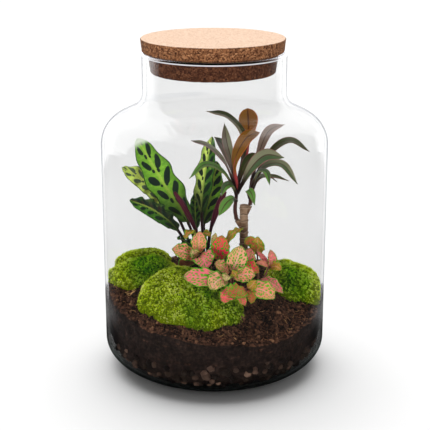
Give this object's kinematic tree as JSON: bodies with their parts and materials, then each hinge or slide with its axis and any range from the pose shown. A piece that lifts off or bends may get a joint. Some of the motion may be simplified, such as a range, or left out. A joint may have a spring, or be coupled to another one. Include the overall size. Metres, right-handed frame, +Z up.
{
  "type": "glass plant terrarium",
  "caption": "Wide-mouth glass jar with a cork lid, planted inside with moss cushions, a patterned prayer plant, a cane plant and a pink nerve plant on dark soil over clay pebbles.",
  "frame": {"origin": "middle of the jar's flat base, on the surface it stands on", "axes": "+Z up through the jar and its lid, -Y towards the front of the planting, +X to the right seen from the front"},
  "size_m": [0.2, 0.2, 0.3],
  "materials": {
    "glass": "clear, smooth, thin-walled",
    "cork": "matt pressed cork with dark pits, paler on the cut top",
    "clay": "matt fired clay pebbles with soil between them",
    "soil": "matt, crumbly, damp potting soil",
    "moss": "matt, fine upright tufts, yellow-green at the edges",
    "prayer_leaf": "satin leaf, green with dark oval spots on both sides of the midrib",
    "rolled_leaf": "satin leaf, still rolled, dark purple",
    "bark": "matt grey-brown bark with pale ring scars",
    "strap_leaf": "satin leaf, dark olive to grey-green with purple edges, orange-brown on young leaves",
    "nerve_leaf": "satin leaf, pink with green veins, specks and edge"
  },
  "bodies": {
    "root": {"jar": "glass", "cork_lid": "cork", "pebble_bed": "clay", "soil": "soil", "moss_front": "moss", "moss_left_front": "moss", "moss_left_rear": "moss", "moss_right": "moss", "calathea_tall": "prayer_leaf", "calathea_left": "prayer_leaf", "calathea_low": "prayer_leaf", "calathea_upright": "prayer_leaf", "calathea_rear": "prayer_leaf", "calathea_small": "prayer_leaf", "calathea_sprout": "prayer_leaf", "calathea_roll_front": "rolled_leaf", "calathea_roll_right": "rolled_leaf", "cane": "bark", "shoot_left": "strap_leaf", "shoot_right": "strap_leaf", "fittonia_a": "nerve_leaf", "fittonia_b": "nerve_leaf", "fittonia_c": "nerve_leaf", "fittonia_d": "nerve_leaf", "fittonia_e": "nerve_leaf", "fittonia_f": "nerve_leaf", "fittonia_g": "nerve_leaf", "fittonia_h": "nerve_leaf"}
  },
  "joints": []
}
